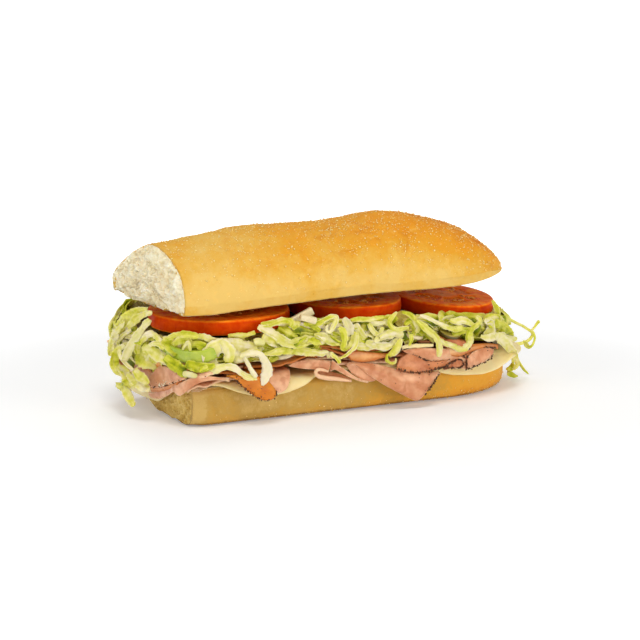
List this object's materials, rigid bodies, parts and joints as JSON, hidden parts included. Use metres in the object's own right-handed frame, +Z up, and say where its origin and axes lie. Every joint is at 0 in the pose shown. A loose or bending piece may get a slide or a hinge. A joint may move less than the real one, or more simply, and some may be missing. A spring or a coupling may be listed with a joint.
{
  "type": "submarine sandwich half",
  "caption": "Half of a long filled roll: round end, cut end, tomato slices, shredded lettuce, folded cold cuts and cheese between two buns.",
  "frame": {"origin": "middle of the flat underside of the bottom bun", "axes": "+X along the roll from the cut end to the round end, +Z up, -Y towards the front edge, where the slices hang out"},
  "size_m": [0.1797, 0.0811, 0.0745],
  "materials": {
    "bread": "soft baked crust, matt",
    "cheese": "smooth, slightly waxy",
    "ham": "moist",
    "peppered_ham": "moist, with a ground pepper edge",
    "turkey": "moist, with a browned edge",
    "lettuce": "wet, crisp",
    "tomato": "wet",
    "onion": "wet, translucent",
    "green_pepper": "wet",
    "pickle": "wet"
  },
  "bodies": {
    "root": {"bun_bottom": "bread", "bun_top": "bread", "cheese_1": "cheese", "cheese_2": "cheese", "cheese_3": "cheese", "ham_1": "ham", "ham_2": "ham", "ham_3": "ham", "ham_4": "ham", "ham_5": "ham", "ham_6": "peppered_ham", "ham_7": "peppered_ham", "ham_8": "peppered_ham", "ham_9": "ham", "lettuce": "lettuce", "onion_slice_1": "onion", "onion_slice_2": "onion", "onion_stick_1": "onion", "onion_stick_2": "onion", "pepper_strip": "green_pepper", "pickle_1": "pickle", "pickle_2": "pickle", "pickle_3": "pickle", "strand_1": "lettuce", "strand_2": "lettuce", "strand_3": "lettuce", "tomato_1": "tomato", "tomato_2": "tomato", "tomato_3": "tomato", "tomato_4": "tomato", "turkey_1": "turkey", "turkey_2": "turkey", "turkey_3": "turkey", "turkey_4": "turkey", "turkey_5": "turkey", "turkey_6": "turkey"}
  },
  "joints": []
}
